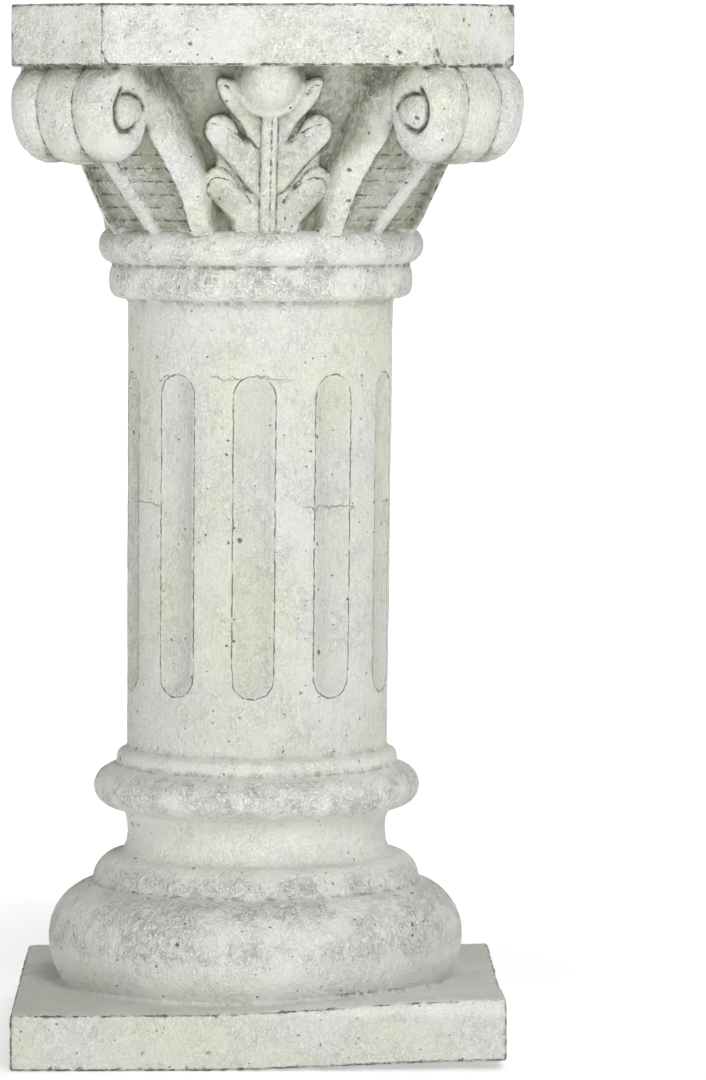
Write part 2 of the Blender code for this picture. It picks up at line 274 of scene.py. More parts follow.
turning = {
    "torusOut": 0.0533, "torusSwell": 0.0370, "torusBelly": 0.45, "lowerRingOut": 0.0231,
    "scotiaIn": 0.0008, "upperTorusOut": 0.0228, "upperTorusSwell": 0.0175, "filletOut": 0.0071,
    "spread": 0.0012, "neckRingOut": 0.0143, "neckRingSwell": 0.0085, "collarSwell": 0.0100, "boxy": 0.72,
}
flute = {"count": 10, "width": 0.0288, "depth": 0.0052, "below": 0.0410, "above": 0.0500}


def columnProfile():  # from the collar down to the plinth
    t = turning
    half = courses["collar"] / 2
    groove = collarRadius - t["collarSwell"]
    points = arc((groove, tops["collar"] - half), (t["collarSwell"], half), 90, -90, 19)
    half = courses["neckRing"] / 2
    centre = shaftRadius + t["neckRingOut"] - t["neckRingSwell"]
    meeting = math.degrees(math.acos((groove - centre) / t["neckRingSwell"]))
    points += arc((centre, tops["neckRing"] - half), (t["neckRingSwell"], half), meeting, -90, 25, t["boxy"])
    points += [(shaftRadius + t["spread"], tops["shaft"]), (shaftRadius, tops["fillet"])]
    half = courses["fillet"] / 2
    fillet = shaftRadius + t["filletOut"]
    points += arc((fillet - half, tops["fillet"] - half), (half, half), 90, 0, 7)
    points += [(fillet, tops["upperTorus"])]
    joint = shaftRadius + t["upperTorusOut"] - t["upperTorusSwell"]
    half = courses["upperTorus"] / 2
    points += arc((joint, tops["upperTorus"] - half), (t["upperTorusSwell"], half), 75, -90, 19)
    half = courses["scotia"] / 2
    hollow = joint - (shaftRadius - t["scotiaIn"])
    points += arc((joint, tops["scotia"] - half), (hollow, half), 120, 240, 13)
    ring = shaftRadius + t["lowerRingOut"]
    points += arc((joint, tops["torus"]), (ring - joint, courses["lowerRing"]), 90, 0, 13)
    belly = tops["plinth"] + courses["torus"] * t["torusBelly"]
    centre = shaftRadius + t["torusOut"] - t["torusSwell"]
    meeting = math.degrees(math.acos((ring - centre) / t["torusSwell"]))
    points += arc((centre, belly), (t["torusSwell"], tops["torus"] - belly), meeting, 0, 15)
    drop = (belly - tops["plinth"]) * math.sqrt(2)
    points += arc((centre, belly), (t["torusSwell"], drop), -3, -45, 12)
    points += [(centre, tops["plinth"] - 0.004)]
    return points


def addFlutes(shaft):  # long round-ended hollows, cut by a stretched ball
    half = flute["width"] / 2
    radius = (half**2 + flute["depth"]**2) / (2 * flute["depth"])
    reach = shaftRadius + turning["spread"] / 2 + radius - flute["depth"]
    low = tops["fillet"] + flute["below"] + half
    high = tops["shaft"] - flute["above"] - half
    bpy.ops.object.select_all(action="DESELECT")
    bpy.ops.mesh.primitive_uv_sphere_add(segments=96, ring_count=64, radius=radius, location=(0, 0, 0))
    ball = bpy.context.object

    def stretch(points):
        points[:, 2] += np.where(points[:, 2] > 0, high, low)
        points[:, 1] -= reach
        return points

    shapeBy(ball, stretch)
    cutters = [ball]
    for index in range(1, flute["count"]):
        copy = ball.copy()
        copy.data = ball.data.copy()
        copy.data.transform(Matrix.Rotation(index * math.tau / flute["count"], 4, "Z"))
        bpy.context.collection.objects.link(copy)
        cutters.append(copy)
    cutter = joinAll(cutters)
    cutter.data.transform(Matrix.Rotation(math.radians(lean["fluteTurn"]), 4, "Z"))
    cut = shaft.modifiers.new("flutes", "BOOLEAN")
    cut.operation = "DIFFERENCE"
    cut.solver = "MANIFOLD"
    cut.object = cutter
    applyAll(shaft)
    bpy.data.objects.remove(cutter, do_unlink=True)


plinth = {"frontRightLift": 0.0098, "frontLeftDrop": 0.0004, "footLift": 0.0062}


def warpPlinth(points):  # the slab is a little twisted: its front right corner stands off the ground
    right = smoothStep(-0.05, plinthHalf, points[:, 0]) * smoothStep(0.02, plinthHalf, -points[:, 1])
    left = smoothStep(0.02, plinthHalf, -points[:, 0]) * smoothStep(0.02, plinthHalf, -points[:, 1])
    up = points[:, 2] / tops["plinth"]
    points[:, 2] += right * (plinth["footLift"] + (plinth["frontRightLift"] - plinth["footLift"]) * up)
    points[:, 2] -= left * plinth["frontLeftDrop"] * up
    return points


def addPlinth():
    bpy.ops.object.select_all(action="DESELECT")
    height = courses["plinth"]
    bpy.ops.mesh.primitive_cube_add(size=1, location=(0, 0, 0))
    slab = bpy.context.object
    shapeBy(slab, lambda points: points * (2 * plinthHalf, 2 * plinthHalf, height) + (0, 0, height / 2))
    editAll(slab)
    bpy.ops.mesh.bevel(offset=0.0016, segments=2, affect="EDGES")
    bpy.ops.mesh.select_all(action="SELECT")
    bpy.ops.mesh.subdivide(number_cuts=30)
    bpy.ops.object.mode_set(mode="OBJECT")
    return shapeBy(slab, warpPlinth)


def makeColumn():
    shaft = turned("column", columnProfile())
    addFlutes(shaft)

    def leaned(points):
        points[:, 0] += lean["shift"] + lean["slope"] * (points[:, 2] - tops["plinth"])
        return points

    shapeBy(shaft, leaned)
    return fuse(joinAll([shaft, addPlinth()]), 0.0017)


column = makeColumn()
print("column made:", len(column.data.vertices), "points")


# Capital: bell, four leaves with buds, four stems with scrolls, and the abacus

scroll = {
    "centre": (2 * abacusHalf - abacusCant) * diagonal - 0.0190, "level": tops["capital"] - 0.0240,
    "outer": 0.0275, "inner": 0.0265, "above": 0.0270, "below": 0.0400, "endOuter": 0.0065, "endInner": 0.0095,
    "endAbove": 0.0030, "endBelow": 0.0065, "edge": 0.0445, "edgeRound": 0.0015, "faceDome": 0.0010,
    "flatShare": 0.91, "eyeSunk": 0.0010,
    "grooves": ((0.0166, 0.0036, 0.0013), (0.0418, 0.0018, 0.0010)), "pillow": 0.0012,
    "eye": (0.0020, -0.0068), "eyeRadius": 0.0120, "eyeProud": 0.0042,
}


def scrollSection():  # (across, share of full size) from one end face to the middle
    s = scroll
    flat = s["flatShare"]
    rows = [
        (s["edge"] + s["edgeRound"] + s["faceDome"] * (1 - size**2), flat * size) for size in np.linspace(0, 1, 26)
    ]
    for angle in np.linspace(0, math.pi / 2, 9)[1:]:
        rows.append((s["edge"] + s["edgeRound"] * math.cos(angle), flat + (1 - flat) * math.sin(angle)))
    rows += [(across, 1.0) for across in np.linspace(s["edge"], 0, 90)[1:]]
    rows += [(-across, size) for across, size in rows[-2::-1]]
    return np.array(rows)


def scrollShape(points):
    s = scroll
    rows = scrollSection()
    lengths = np.concatenate([[0], np.cumsum(np.hypot(np.diff(rows[:, 0]), np.diff(rows[:, 1]) * s["outer"]))])
    share = np.arccos(np.clip(points[:, 2], -1, 1)) / math.pi * lengths[-1]
    across = np.interp(share, lengths, rows[:, 0])
    size = np.interp(share, lengths, rows[:, 1])
    turn = np.arctan2(points[:, 1], points[:, 0])
    end = np.clip(np.abs(across) / s["edge"], 0, 1)
    outer = s["outer"] - s["endOuter"] * end**5
    inner = s["inner"] - s["endInner"] * end**3
    tall = np.where(np.sin(turn) > 0, s["above"] - s["endAbove"] * end**3, s["below"] - s["endBelow"] * end**4)
    swell = s["pillow"] * np.abs(np.sin(np.pi * np.abs(across) / s["grooves"][0][0] * 0.5 + np.pi / 2))
    for place, depth, width in s["grooves"]:
        swell = swell - depth * np.exp(-np.abs(np.abs(across) - place) / width)
    size = size * (1 + swell / s["outer"] * np.where(size > 0.95, 1, 0))
    reach = np.where(np.cos(turn) > 0, outer, inner) * size * np.cos(turn)
    return cornerPoints(s["centre"] + reach, across, s["level"] + tall * size * np.sin(turn))


def addBall(segments, rings, mover):
    bpy.ops.object.select_all(action="DESELECT")
    bpy.ops.mesh.primitive_uv_sphere_add(segments=segments, ring_count=rings, radius=1, location=(0, 0, 0))
    ball = shapeBy(bpy.context.object, mover)
    return closeUp(ball)


def addScroll():
    return addBall(128, 120, scrollShape)


def addEye(side):
    s = scroll

    def place(points):
        reach = s["centre"] + s["eye"][0] + s["eyeRadius"] * points[:, 0]
        across = s["edge"] - s["eyeSunk"] + (s["edgeRound"] + s["faceDome"] + s["eyeProud"]) * points[:, 2]
        return cornerPoints(reach, side * across, s["level"] + s["eye"][1] + s["eyeRadius"] * points[:, 1])

    return addBall(48, 32, place)


# Stem sections: height over the collar, then (reach, across) of the panel's edge, the border's ridge, the border's
# edge and the root
stemRows = (
    (-0.005, 0.1060, 0.0352, 0.1010, 0.0403, 0.0960, 0.0455, 0.0800, 0.0420),
    (0.004, 0.1130, 0.0366, 0.1076, 0.0421, 0.1022, 0.0476, 0.0850, 0.0425),
    (0.021, 0.1220, 0.0390, 0.1168, 0.0443, 0.1116, 0.0495, 0.0920, 0.0440),
    (0.034, 0.1302, 0.0389, 0.1238, 0.0452, 0.1172, 0.0511, 0.0970, 0.0445),
    (0.044, 0.1370, 0.0383, 0.1290, 0.0462, 0.1190, 0.0520, 0.1005, 0.0442),
    (0.053, 0.1435, 0.0376, 0.1345, 0.0452, 0.1200, 0.0495, 0.1045, 0.0430),
    (0.061, 0.1490, 0.0372, 0.1385, 0.0435, 0.1212, 0.0465, 0.1080, 0.0412),
    (0.077, 0.1600, 0.0385, 0.1482, 0.0418, 0.1285, 0.0448, 0.1165, 0.0414),
    (0.091, 0.1700, 0.0440, 0.1560, 0.0440, 0.1365, 0.0435, 0.1255, 0.0405),
    (0.101, 0.1750, 0.0450, 0.1585, 0.0432, 0.1430, 0.0405, 0.1330, 0.0370),
    (0.112, 0.1800, 0.0450, 0.1620, 0.0420, 0.1500, 0.0375, 0.1420, 0.0335),
)
stem = {
    "ridgeFoot": 0.1110, "ridgeLean": 0.945, "ridgeHalf": 0.0047, "ridgeDepth": 0.0060, "panelDepth": 0.0062,
    "slats": (0.0062, 0.0150, 0.0238, 0.0328, 0.0415, 0.0510), "slatCut": 0.0012, "slatStep": 0.0014,
    "slatWidth": 0.0008, "slatRise": 0.0088, "backReach": 0.055, "backSpread": 0.55,
    "ridgeRound": 0.0010, "draft": 0.0012, "lip": 0.0012, "bandSwell": 0.0012,
    "stops": (0.0, 0.075, 0.105, 0.435, 0.465, 0.60, 0.73, 0.79, 1.0),
}


def stemPlace(u, v, back):
    s = stem
    free = -0.004 + (courses["capital"] + 0.003) * v
    height = tops["collar"] + free
    rows = np.array(smoothLine(stemRows))
    panelR, panelA, midR, midA, edgeR, edgeA, rootR, rootA = (
        np.interp(free, rows[:, 0], rows[:, index]) for index in range(1, 9)
    )
    ridge = s["ridgeFoot"] + s["ridgeLean"] * np.minimum(free, 0.075)
    floorR = ridge - s["ridgeDepth"]
    lip = s["lip"] * smoothStep(0.062, 0.048, free)
    stations = (
        (ridge, 0 * ridge), (ridge - s["ridgeRound"], s["ridgeHalf"] + 0 * ridge),
        (floorR, s["ridgeHalf"] + s["draft"] + 0 * ridge), (panelR - s["panelDepth"], panelA - s["draft"]),
        (panelR, panelA), (midR, midA), (edgeR + lip, edgeA - lip), (edgeR - lip, edgeA - 0.2 * lip), (rootR, rootA),
    )
    share = np.abs(2 * u - 1)
    reach = np.zeros_like(share)
    across = np.zeros_like(share)
    for (low, high), (start, end) in zip(zip(s["stops"], s["stops"][1:]), zip(stations, stations[1:])):
        step = np.clip((share - low) / (high - low), 0, 1)
        inside = (share >= low) & (share <= high)
        reach = np.where(inside, start[0] + (end[0] - start[0]) * step, reach)
        across = np.where(inside, start[1] + (end[1] - start[1]) * step, across)
    onFloor = smoothStep(s["stops"][1], s["stops"][2], share) * smoothStep(s["stops"][4], s["stops"][3], share)
    below = 0.0
    for line in s["slats"]:
        dip = s["slatCut"] * bumpAt(line, s["slatWidth"], free)
        dip = dip + s["slatStep"] * np.where((free > below) & (free <= line), (line - free) / s["slatRise"], 0)
        reach = reach - dip * onFloor
        below = line
    onBand = smoothStep(s["stops"][4], s["stops"][5], share) * smoothStep(s["stops"][6], s["stops"][5], share)
    reach = reach + s["bandSwell"] * onBand
    reach = np.where(back, s["backReach"], reach)
    across = np.where(back, across * s["backSpread"], across) * np.sign(2 * u - 1)
    return cornerPoints(reach, across, height)


# Leaf lobes on the bell, (across, height over the collar): the outline of each, then the line its fold leaves on it
lobes = (
    {
        "outline": (
            (0.0000, -0.006), (0.0190, -0.006), (0.0235, 0.0050), (0.0295, 0.0115), (0.0355, 0.0180),
            (0.0405, 0.0250), (0.0432, 0.0320), (0.0425, 0.0385), (0.0380, 0.0425), (0.0320, 0.0425),
            (0.0255, 0.0385), (0.0200, 0.0320), (0.0120, 0.0260), (0.0000, 0.0240),
        ),
        "fold": ((0.0425, 0.0250), (0.0405, 0.0305), (0.0380, 0.0342), (0.0340, 0.0357), (0.0275, 0.0342),
                 (0.0215, 0.0305), (0.0150, 0.0250), (0.0110, 0.0190)),
        "lift": 0.0010, "rise": 0.0050, "lean": 0.10,
    },
    {
        "outline": (
            (0.0000, 0.0140), (0.0100, 0.0250), (0.0165, 0.0322), (0.0225, 0.0400), (0.0300, 0.0482),
            (0.0362, 0.0540), (0.0412, 0.0598), (0.0440, 0.0660), (0.0425, 0.0730), (0.0370, 0.0775),
            (0.0295, 0.0778), (0.0235, 0.0735), (0.0190, 0.0660), (0.0120, 0.0590), (0.0000, 0.0560),
        ),
        "fold": ((0.0445, 0.0640), (0.0428, 0.0685), (0.0388, 0.0714), (0.0330, 0.0706), (0.0265, 0.0682),
                 (0.0205, 0.0640), (0.0150, 0.0592)),
        "lift": 0.0022, "rise": 0.0070, "lean": 0.12,
    },
    {
        "outline": (
            (0.0000, 0.0460), (0.0090, 0.0560), (0.0155, 0.0650), (0.0190, 0.0718), (0.0236, 0.0768),
            (0.0288, 0.0826), (0.0330, 0.0887), (0.0355, 0.0950), (0.0360, 0.1000), (0.0330, 0.1030),
            (0.0270, 0.1020), (0.0200, 0.1000), (0.0000, 0.0960),
        ),
        "fold": ((0.0350, 0.0955), (0.0318, 0.0972), (0.0282, 0.0960), (0.0250, 0.0910)),
        "lift": 0.0040, "rise": 0.0080, "lean": 0.12,
    },
)
leaf = {
    "half": 0.0480, "thick": 0.0046, "roll": 0.0030, "foldDepth": 0.0018, "foldWidth": 0.0011, "under": 0.0075,
    "ribHalf": 0.0052, "ribProud": 0.0016, "ribTop": 0.0800, "ribLift": 0.0068, "ribRise": 0.115,
    # ridges and grooves along the midrib: (across, how proud, width, height of the top)
    "ribMarks": (
        (0.0040, 0.0016, 0.0010, 0.0800), (0.0018, -0.0012, 0.0008, 0.0800), (-0.0054, -0.0014, 0.0008, 0.0600),
    ),
    "ribLines": (-0.0054, 0.0018, 0.0062),
    "web": ((0.0, -0.006), (0.0200, -0.006), (0.0280, 0.0080), (0.0370, 0.0220), (0.0395, 0.0340),
            (0.0350, 0.0450), (0.0385, 0.0560), (0.0400, 0.0680), (0.0330, 0.0740), (0.0250, 0.0760),
            (0.0300, 0.0860), (0.0335, 0.0960), (0.0300, 0.1000), (0.0, 0.0980)),
    "webLift": 0.0015, "webRise": 0.0065, "webEdge": 0.002, "halfWidth": 0.042, "backIn": 0.014,
}


def insideBy(points, outline):  # distance to a closed outline, positive inside
    line = smoothLine(outline, 4)
    distance, _ = alongLine(points, line)
    crossings = np.zeros(len(points), dtype=int)
    for (x0, z0), (x1, z1) in zip(line, line[1:] + line[:1]):
        spans = (z0 > points[:, 1]) != (z1 > points[:, 1])
        slope = (x1 - x0) / (z1 - z0) if z1 != z0 else 0.0
        crossings += spans & (points[:, 0] < x0 + slope * (points[:, 1] - z0))
    return np.where(crossings % 2 == 1, distance, -distance)


def leafPlace(u, v, back):
    across = (2 * u - 1) * leaf["half"]
    height = -0.004 + 0.111 * v
    spot = np.stack([np.abs(across), height], axis=-1)
    inside = insideBy(spot, leaf["web"])
    spread = (spot[:, 0] / leaf["halfWidth"]) ** 2
    web = leaf["webLift"] + leaf["webRise"] * spread
    edge = leaf["webEdge"]
    lift = np.where(inside > 0, web - edge * (1 - np.clip(inside / edge, 0, 1)) ** 2, -leaf["under"])
    for lobe in lobes:
        inside = insideBy(spot, lobe["outline"])
        dome = np.sqrt(np.clip(1 - (1 - np.clip(inside / leaf["roll"], 0, 1)) ** 2, 0, 1))
        middle = np.array(lobe["outline"]).mean(axis=0)
        over = (spot[:, 0] - middle[0]) * 0.75 - (spot[:, 1] - middle[1]) * 0.65
        raised = lobe["lift"] + leaf["thick"] * dome + lobe["rise"] * spread + lobe["lean"] * over
        distance, _ = alongLine(spot, smoothLine(lobe["fold"], 4))
        raised = raised - leaf["foldDepth"] * bumpAt(0, leaf["foldWidth"], distance)
        lift = np.maximum(lift, np.where(inside > 0, raised, -leaf["under"]))
    strip = leaf["ribLift"] + leaf["ribRise"] * np.clip(height, 0, 1) + leaf["ribProud"]
    side = np.abs(across - 0.0004)
    onRib = 1 - smoothStep(leaf["ribHalf"] - 0.0005, leaf["ribHalf"] + 0.0007, side)
    onRib = onRib * (height < leaf["ribTop"] + 0.010)
    lift = lift + (np.maximum(strip, lift) - lift) * onRib
    for place, proud, width, top in leaf["ribMarks"]:
        lift = lift + proud * bumpAt(place, width, across) * (height < top)
    lift = np.where(back, -leaf["backIn"], lift)
    return facePoints(across, lift, tops["collar"] + height)


bud = {"radius": 0.0200, "drop": 0.0095, "inset": 0.0212, "rim": 0.0036}


def addBud():
    centre = Vector((0, -(abacusHalf - bud["inset"]), tops["capital"] - bud["drop"]))

    ball = addBall(64, 48, lambda points: points * bud["radius"] + centre)
    bpy.ops.object.select_all(action="DESELECT")
    bpy.ops.mesh.primitive_torus_add(
        major_segments=72, minor_segments=20, major_radius=bud["radius"] + 0.0006, minor_radius=bud["rim"],
        location=(0, 0, 0), rotation=(math.pi / 2, 0, 0),
    )
    rim = bpy.context.object
    bpy.ops.object.transform_apply(location=False, rotation=True, scale=False)
    shapeBy(rim, lambda points: points * (1, 1.6, 1) + centre + Vector((0, 0.0065, -0.0008)))
    return [ball, rim]


def addBell():
    heights = np.linspace(tops["capital"] + 0.004, tops["collar"] - 0.004, 40)
    return turned("bell", [(float(bellRadius(height)), float(height)) for height in heights], 160)


def addAbacus():
    height = abacusTop - tops["capital"]
    bpy.ops.object.select_all(action="DESELECT")
    bpy.ops.mesh.primitive_cylinder_add(
        vertices=8, radius=1, depth=height, location=(0, 0, 0), rotation=(0, 0, math.pi / 8)
    )
    slab = bpy.context.object
    bpy.ops.object.transform_apply(location=False, rotation=True, scale=False)

    def eightSided(points):  # a square with its corners cut off
        short = abacusHalf - abacusCant
        flat = np.abs(points[:, :2])
        outer = np.where(flat > 0.5, abacusHalf, short)
        points[:, :2] = np.sign(points[:, :2]) * outer
        points[:, 2] += (abacusTop + tops["capital"]) / 2
        return points

    return shapeBy(slab, eightSided)


def makeCapital():
    leafPatch = patch("leaf", 140, 160, leafPlace)
    stemPatch = patch("stem", 240, 170, stemPlace)
    carving = quarterCopies([leafPatch, stemPatch, addScroll(), addEye(1), addEye(-1), *addBud()])
    print("carving drawn")
    piece = joinAll([addBell(), *carving])
    slab = addAbacus()
    slab.data.transform(Matrix.Translation((lean["abacusShift"], 0, 0)))
    return fuse(joinAll([piece, slab]), 0.0011)


capital = makeCapital()
print("capital made:", len(capital.data.vertices), "points")


# Lines cut into the scrolls after the shapes are fused

spiral = {
    "lines": (
        ((0.0084, 0.0093), (0.0131, 0.0020), (0.0149, -0.0066), (0.0130, -0.0146), (0.0072, -0.0192),
         (0.0010, -0.0183), (-0.0040, -0.0150)),
        ((0.0131, 0.0020), (0.0090, 0.0048), (0.0030, 0.0057), (-0.0041, 0.0040), (-0.0099, 0.0004),
         (-0.0130, -0.0050)),
        ((-0.0060, -0.0140), (-0.0098, -0.0100), (-0.0108, -0.0040), (-0.0085, 0.0010)),
    ),
    "rim": ((-0.0165, 0.0010), (-0.0180, -0.0060), (-0.0176, -0.0145), (-0.0152, -0.0230), (-0.0095, -0.0310),
            (-0.0010, -0.0350)),
    "widths": (0.0014, 0.0012, 0.0010), "depths": (0.0036, 0.0030, 0.0012),
}


def folded(points):  # every point in the terms of the corner that faces -X and -Y
    angle = np.arctan2(points[:, 1], points[:, 0])
    quarter = np.round((angle + 3 * math.pi / 4) / (math.pi / 2))
    turn = -quarter * math.pi / 2
    x = points[:, 0] * np.cos(turn) - points[:, 1] * np.sin(turn)
    y = points[:, 0] * np.sin(turn) + points[:, 1] * np.cos(turn)
    return -(x + y) * diagonal, (x - y) * diagonal  # reach, across


def cutSpirals(piece):
    points = readPoints(piece.data)
    normals = readPoints(piece.data, "normal")
    reach, across = folded(points)
    spot = np.stack([reach - scroll["centre"], points[:, 2] - scroll["level"]], axis=-1)
    near = (np.abs(across) > 0.036) & (np.abs(spot[:, 0]) < 0.034) & (np.abs(spot[:, 1]) < 0.034)
    cut = np.zeros(len(points))
    marks = np.zeros(len(points))
    for line, width, depth in zip(spiral["lines"], spiral["widths"], spiral["depths"]):
        distance, _ = alongLine(spot[near], smoothLine(line))
        cut[near] = np.maximum(cut[near], depth * bumpAt(0, width, distance))
        marks[near] = np.maximum(marks[near], bumpAt(0, width * 0.8, distance) * depth / spiral["depths"][0])
    points -= normals * cut[:, None]
    piece.data.vertices.foreach_set("co", points.ravel())
    piece.data.update()
    return marks


marks = cutSpirals(capital)
print("spirals cut")


# Wear: uneven faces and chipped edges, on the dense meshes

wear = {
    "broad": (0.0320, 0.0007), "medium": (0.0090, 0.0004), "chips": (0.0055, 0.0030), "chipMiddle": 0.62,
    "edge": (0.00012, 0.00045), "edgeGain": 1.6, "edgeReach": 3,
}


def neighbours(mesh):
    edges = np.empty(len(mesh.edges) * 2, dtype=np.int64)
    mesh.edges.foreach_get("vertices", edges)
    edges = edges.reshape(-1, 2)
    count = np.bincount(edges.ravel(), minlength=len(mesh.vertices))
    return edges, np.maximum(count, 1)


def averaged(values, links, passes=1):  # each point takes the mean of its neighbours
    edges, count = links
    values = values.reshape(len(count), -1)
    for _ in range(passes):
        summed = np.empty_like(values)
        for axis in range(values.shape[1]):
            single = values[:, axis]
            summed[:, axis] = np.bincount(edges[:, 0], single[edges[:, 1]], len(count))
            summed[:, axis] += np.bincount(edges[:, 1], single[edges[:, 0]], len(count))
        values = summed / count[:, None]
    return values


def hollows(piece, links, passes):  # positive in hollows and negative on edges, in metres
    points = readPoints(piece.data)
    normals = readPoints(piece.data, "normal")
    return ((averaged(points, links, passes) - points) * normals).sum(axis=1)


def giveGroup(piece, name, weights, steps=24):
    group = piece.vertex_groups.new(name=name)
    ranks = np.round(np.clip(weights, 0, 1) * steps).astype(int)
    for rank in range(1, steps + 1):
        chosen = np.flatnonzero(ranks == rank)
        if len(chosen):
            group.add(chosen.tolist(), rank / steps, "REPLACE")
    return group


def displace(piece, name, scale, strength, group=None, middle=0.5):
    texture = bpy.data.textures.new(name, "CLOUDS")
    texture.noise_scale = scale
    texture.noise_depth = 2
    modifier = piece.modifiers.new(name, "DISPLACE")
    modifier.texture = texture
    modifier.texture_coords = "LOCAL"
    modifier.strength = strength
    modifier.mid_level = middle
    if group:
        modifier.vertex_group = group


def wearDown(piece):
    links = neighbours(piece.data)
    sharp = -hollows(piece, links, 2)
    edges = averaged(smoothStep(*wear["edge"], sharp), links, wear["edgeReach"])[:, 0]
    giveGroup(piece, "edges", edges * wear["edgeGain"])
    displace(piece, "broad", *wear["broad"])
    displace(piece, "medium", *wear["medium"])
    displace(piece, "chips", *wear["chips"], "edges", wear["chipMiddle"])
    applyAll(piece)
    return links


columnLinks = wearDown(column)
capitalLinks = wearDown(capital)
print("edges worn")


# What the finish needs to know of the surface is measured on the dense meshes

# How far a point lies under or over its neighbours, in metres, where each mark starts and is full
reading = {"crease": (0.00004, 0.00022), "rim": (0.00006, 0.00030), "hollow": (0.0002, 0.0020)}


def measure(piece, links, extra=None):
    fine = averaged(hollows(piece, links, 1), links, 1)[:, 0]
    wide = averaged(hollows(piece, links, 10), links, 2)[:, 0]
    crease = smoothStep(*reading["crease"], fine)
    if extra is not None:
        crease = np.maximum(crease, extra)
    return np.stack([crease, smoothStep(*reading["rim"], -fine), smoothStep(*reading["hollow"], wide)], axis=-1)


columnMarks = measure(column, columnLinks)
capitalMarks = measure(capital, capitalLinks, marks)


def leanOver(points):  # the capital is turned and leans with the column
    angle = math.radians(lean["capitalTurn"])
    x = points[:, 0] * math.cos(angle) - points[:, 1] * math.sin(angle)
    y = points[:, 0] * math.sin(angle) + points[:, 1] * math.cos(angle)
    points[:, 0] = x + lean["shift"] + lean["slope"] * (points[:, 2] - tops["plinth"])
    points[:, 1] = y
    return points


shapeBy(capital, leanOver)


def plant(pieces):  # a tree of the dense points, to look marks up by place
    total = sum(len(piece.data.vertices) for piece in pieces)
    tree = KDTree(total)
    index = 0
    for piece in pieces:
        for point in readPoints(piece.data):
            tree.insert(point, index)
            index += 1
    tree.balance()
    return tree


tree = plant([column, capital])
allMarks = np.concatenate([columnMarks, capitalMarks])
print("surface measured")

budget = {"column": 72000, "capital": 120000}
for piece, links, marksOf, share in (
    (column, columnLinks, columnMarks, budget["column"]), (capital, capitalLinks, capitalMarks, budget["capital"])
):
    piece.vertex_groups.clear()
    keep = averaged(np.clip(marksOf[:, 0] + 0.6 * marksOf[:, 1], 0, 1), links, 1)[:, 0]
    giveGroup(piece, "keep", keep)
    thin(piece, share, "keep")
    piece.vertex_groups.clear()
print("thinned:", len(column.data.polygons), "and", len(capital.data.polygons), "faces")

union = column.modifiers.new("capital", "BOOLEAN")
union.operation = "UNION"
union.solver = "MANIFOLD"
union.object = capital
applyAll(column)
bpy.data.objects.remove(capital, do_unlink=True)
pedestal = column
pedestal.name = "pedestal"
pedestal.data.name = "pedestal"
print("pedestal joined:", len(pedestal.data.polygons), "faces")


# Marks for the finish, kept on the points of the finished mesh

# Painted shade in recesses: occlusion rays and reach, extra on the stem panels, strength by height; and how much
# crease grey stays at the plinth joint
shade = {
    "rays": 14, "reach": 0.055, "panel": 0.34, "jointClean": 0.25,
    "paintedShadeByHeight": ((0.0, 0.20), (0.190, 0.24), (0.230, 0.70), (0.500, 0.70), (0.514, 0.36), (0.556, 0.36), (0.563, 1.25)),
}


def hiddenness(piece):  # how much of the sky each point can't see
    points = readPoints(piece.data)
    normals = readPoints(piece.data, "normal")
    polygons = [tuple(polygon.vertices) for polygon in piece.data.polygons]
    sky = BVHTree.FromPolygons([Vector(point) for point in points], polygons)
    rng = np.random.default_rng(7)
    angles = (np.arange(shade["rays"]) + rng.random(shade["rays"])) / shade["rays"] * math.tau
    tilts = np.sqrt((np.arange(shade["rays"])[rng.permutation(shade["rays"])] + 0.5) / shade["rays"])
    local = np.stack([tilts * np.cos(angles), tilts * np.sin(angles), np.sqrt(1 - tilts**2)], axis=-1)
    helper = np.where(np.abs(normals[:, 2:3]) < 0.9, [[0.0, 0.0, 1.0]], [[1.0, 0.0, 0.0]])
    side = np.cross(helper, normals)
    side /= np.linalg.norm(side, axis=1)[:, None]
    up = np.cross(normals, side)
    hidden = np.zeros(len(points))
    starts = points + normals * 0.0008
    for x, y, z in local:
        ways = side * x + up * y + normals * z
        for index, (start, way) in enumerate(zip(starts.tolist(), ways.tolist())):
            distance = sky.ray_cast(start, way, shade["reach"])[3]
            if distance is not None:
                hidden[index] += 1 - 0.6 * distance / shade["reach"]
    return hidden / shade["rays"]


def keepMark(piece, name, values):
    mark = piece.data.attributes.new(name, "FLOAT", "POINT")
    mark.data.foreach_set("value", values.astype(np.float32))


points = readPoints(pedestal.data)
nearest = np.array([tree.find(point)[1] for point in points])
finalLinks = neighbours(pedestal.data)
footJoint = np.abs(points[:, 2] - tops["plinth"]) < 0.0060
keepMark(pedestal, "crease", allMarks[nearest, 0] * np.where(footJoint, shade["jointClean"], 1))
keepMark(pedestal, "rim", allMarks[nearest, 1])
keepMark(pedestal, "hollow", allMarks[nearest, 2])
# Painted shade: how hidden each point is from the sky, softened
paintedShade = averaged(hiddenness(pedestal), finalLinks, 2)[:, 0]


# Distances to the drawn lines, to the edges and to the flutes, so that the finish can draw thin dark lines there;
# along the plinth's foot the edge line is widened into a band of painted contact shadow

def upright(points, turn):  # the lean taken back, and the capital's turn
    x = points[:, 0] - lean["shift"] - lean["slope"] * (points[:, 2] - tops["plinth"])
    y = points[:, 1]
    cosine, sine = math.cos(-math.radians(turn)), math.sin(-math.radians(turn))
    return np.stack([x * cosine - y * sine, x * sine + y * cosine, points[:, 2]], axis=-1)


far = 0.02  # stands for "no line near here"
wornIn = 0.0012  # how far the worn edges lie inside the true ones


def slabGap(planes):  # distance to the nearest edge, from the distances to the faces that meet there
    nearest = np.sort(np.abs(np.stack(planes, axis=-1)), axis=-1)
    return np.maximum(np.hypot(nearest[:, 0], nearest[:, 1]) - wornIn, 0)



